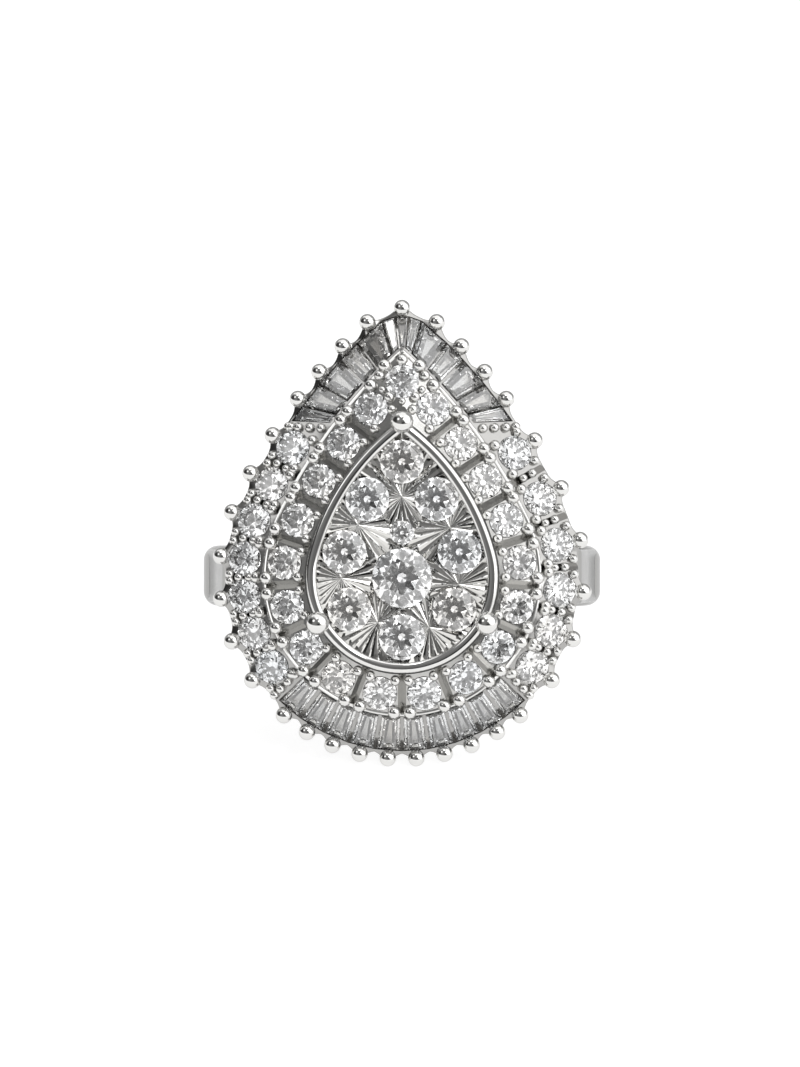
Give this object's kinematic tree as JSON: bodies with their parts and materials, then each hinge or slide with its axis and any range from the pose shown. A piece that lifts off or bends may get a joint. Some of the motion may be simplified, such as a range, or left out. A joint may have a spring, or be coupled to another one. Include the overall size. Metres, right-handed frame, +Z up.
{
  "type": "halo ring",
  "caption": "Finger ring with a pear-shaped pavé cluster in a claw-held rim, inside a halo of round stones and a flared outer halo of round stones and tapered baguettes.",
  "frame": {"origin": "middle of the bounding box's underside, on the surface that the ring lies on", "axes": "+Z up from that surface; the face looks along -Y and 20.2 degrees upwards, with the pear's tip uppermost; +X to the right as the face is seen"},
  "size_m": [0.0204, 0.025, 0.0219],
  "materials": {
    "white_gold": "polished white gold",
    "diamond": "colourless faceted stones"
  },
  "bodies": {
    "root": {"ring_mount": "white_gold", "cluster_frame": "white_gold", "cluster_stone_1": "diamond", "cluster_stone_2": "diamond", "cluster_stone_3": "diamond", "cluster_stone_4": "diamond", "cluster_stone_5": "diamond", "cluster_stone_6": "diamond", "cluster_stone_7": "diamond", "cluster_stone_8": "diamond", "cluster_stone_9": "diamond", "cluster_stone_10": "diamond", "halo_stone_1": "diamond", "halo_stone_2": "diamond", "halo_stone_3": "diamond", "halo_stone_4": "diamond", "halo_stone_5": "diamond", "halo_stone_6": "diamond", "halo_stone_7": "diamond", "halo_stone_8": "diamond", "halo_stone_9": "diamond", "halo_stone_10": "diamond", "halo_stone_11": "diamond", "halo_stone_12": "diamond", "halo_stone_13": "diamond", "halo_stone_14": "diamond", "halo_stone_15": "diamond", "halo_stone_16": "diamond", "halo_stone_17": "diamond", "halo_stone_18": "diamond", "halo_stone_19": "diamond", "side_stones_left": "diamond", "side_stones_right": "diamond", "tip_baguettes": "diamond", "base_baguettes": "diamond"}
  },
  "joints": []
}
